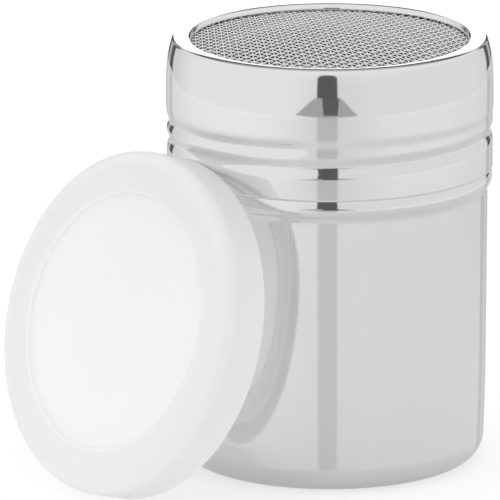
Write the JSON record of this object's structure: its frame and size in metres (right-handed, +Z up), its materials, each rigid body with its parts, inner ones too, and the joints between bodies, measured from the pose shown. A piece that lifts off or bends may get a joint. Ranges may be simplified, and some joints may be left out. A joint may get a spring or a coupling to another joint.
{
  "type": "spice shaker",
  "caption": "Stainless shaker: a drawn cup, a screw collar with a rolled thread that holds a framed woven wire screen, and a translucent press-on lid that leans beside it.",
  "frame": {"origin": "centre of the cup's base, on the face that it stands on", "axes": "+Z up the cup's axis, -Y towards the front, +X to the right; the lid leans on the collar at the front left"},
  "size_m": [0.104, 0.0952, 0.0921],
  "materials": {
    "polished_steel": "mirror-polished stainless steel sheet",
    "frame_steel": "plain stainless steel sheet",
    "wire": "bright drawn stainless steel wire",
    "lid_plastic": "milky translucent polyethylene with a satin surface"
  },
  "bodies": {
    "cup": {"cup": "polished_steel"},
    "screen": {"screen_frame": "frame_steel", "warp_wires": "wire", "weft_wires": "wire"},
    "collar": {"screw_collar": "polished_steel"},
    "lid": {"lid": "lid_plastic"}
  },
  "joints": [
    {"name": "collar_rise", "type": "slide", "parent": "cup", "child": "screen", "axis": [0, 0, 1], "range_m": [0, 0.00484]},
    {"name": "collar_turn", "type": "hinge", "parent": "screen", "child": "collar", "pos_m": [0, 0, 0.078], "axis": [0, 0, 1], "range_deg": [0, 450]},
    {"name": "lid_lift", "type": "slide", "parent": "cup", "child": "lid", "axis": [-0.7412, -0.6002, 0.3007], "range_m": [0, 0.08]}
  ],
  "couplings": [
    {"joint": "collar_rise", "follows": "collar_turn", "m_per_rad": 0.00061593}
  ]
}
